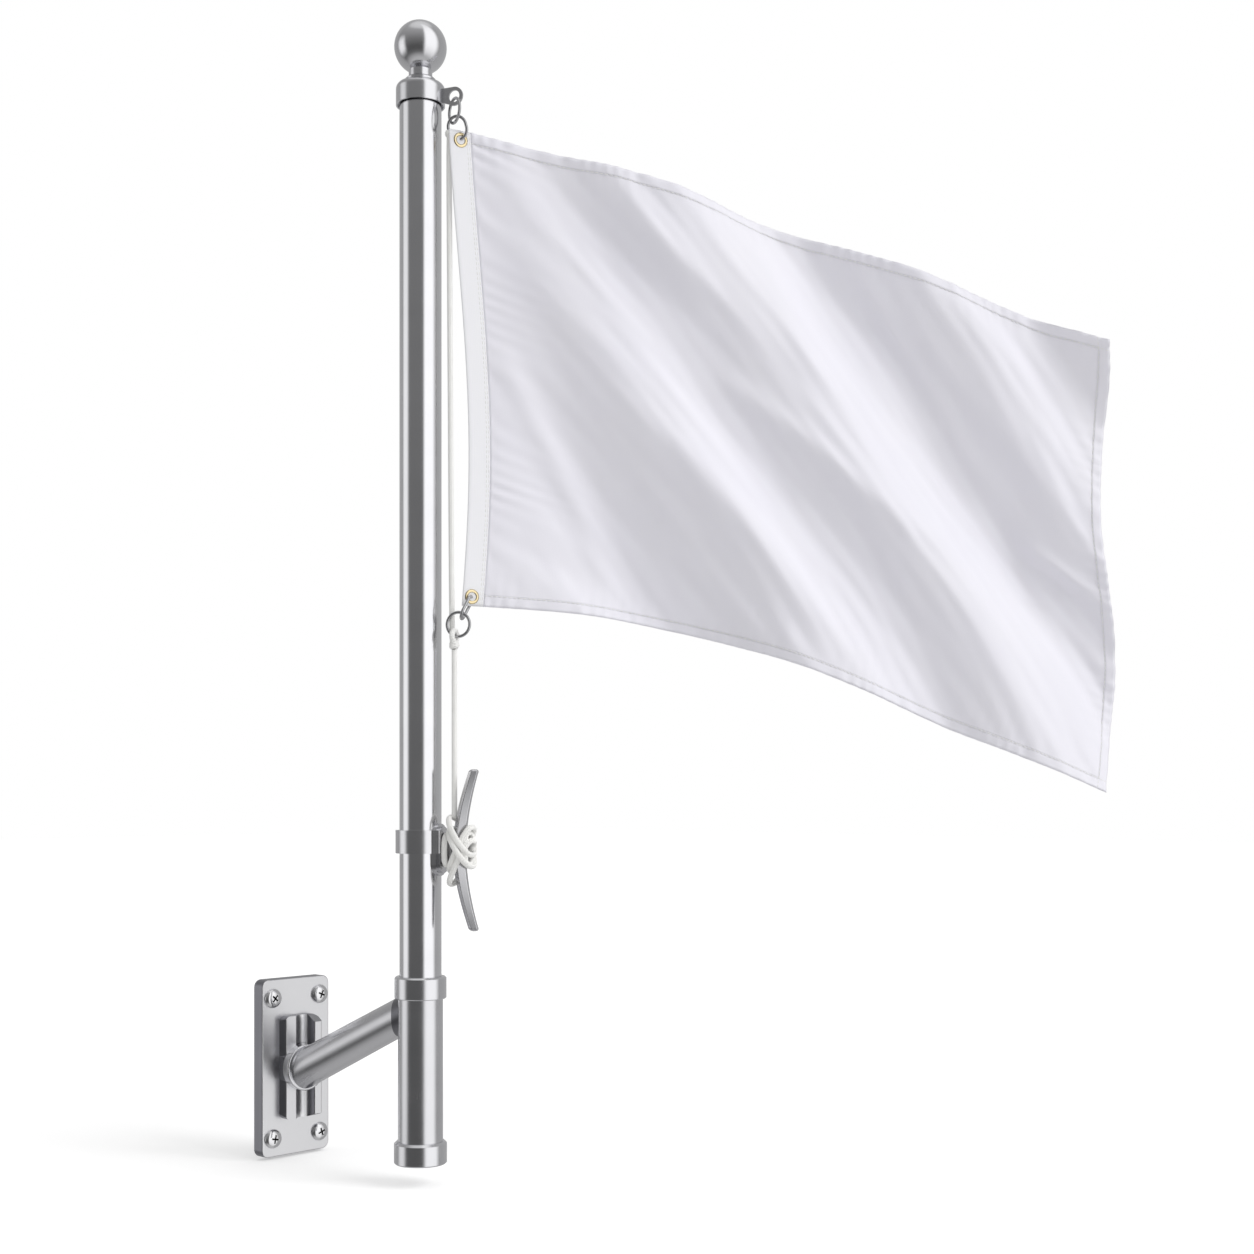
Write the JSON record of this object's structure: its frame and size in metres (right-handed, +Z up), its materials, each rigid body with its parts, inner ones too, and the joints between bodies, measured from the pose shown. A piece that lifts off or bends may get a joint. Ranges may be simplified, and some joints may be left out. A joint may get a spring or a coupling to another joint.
{
  "type": "flagpole",
  "caption": "Wall-mounted steel flagpole on a rising bracket arm, with ball finial, halyard, rings, horn cleat and a plain hanging flag that swings.",
  "frame": {"origin": "middle of the wall plate's back face, on the wall", "axes": "+Z up along the pole; the wall is the plane Y = 0 and the object stands off it toward -Y; +X to the right for someone facing the wall"},
  "size_m": [0.3816, 0.4179, 0.7043],
  "materials": {
    "satin_steel": "satin",
    "polished_steel": "polished",
    "pole_steel": "polished",
    "ball_chrome": "mirror polished",
    "cast_steel": "tumbled",
    "wire_steel": "drawn",
    "white_rope": "braided",
    "header_canvas": "woven canvas",
    "flag_cloth": "satin weave",
    "eyelet_brass": "polished"
  },
  "bodies": {
    "pole": {"wall_plate": "satin_steel", "bracket_boss": "satin_steel", "arm_tube": "polished_steel", "arm_ring": "polished_steel", "arm_saddle": "polished_steel", "socket_tube": "polished_steel", "socket_collar": "polished_steel", "socket_cap": "polished_steel", "pole_tube": "pole_steel", "top_cap": "polished_steel", "finial_neck": "polished_steel", "finial_ball": "ball_chrome", "cleat": "cast_steel", "clamp_ears": "polished_steel", "clamp_band": "polished_steel", "cleat_hitch": "white_rope", "halyard_lower": "white_rope"},
    "ring": {"upper_ring": "wire_steel"},
    "flag": {"upper_link": "wire_steel", "lower_link": "wire_steel", "lower_ring": "wire_steel", "halyard_upper": "white_rope", "halyard_knot": "white_rope", "grommet_top": "eyelet_brass", "grommet_bottom": "eyelet_brass", "flag_header": "header_canvas", "flag_panel": "flag_cloth"}
  },
  "joints": [
    {"name": "ring_turn", "type": "hinge", "parent": "pole", "child": "ring", "pos_m": [0.00831, -0.15666, 0.45], "axis": [0, 0, 1], "range_deg": [-75, 0]},
    {"name": "flag_swing", "type": "hinge", "parent": "ring", "child": "flag", "pos_m": [0.00831, -0.15666, 0.45], "axis": [0, 0, 1], "range_deg": [0, 45]}
  ]
}
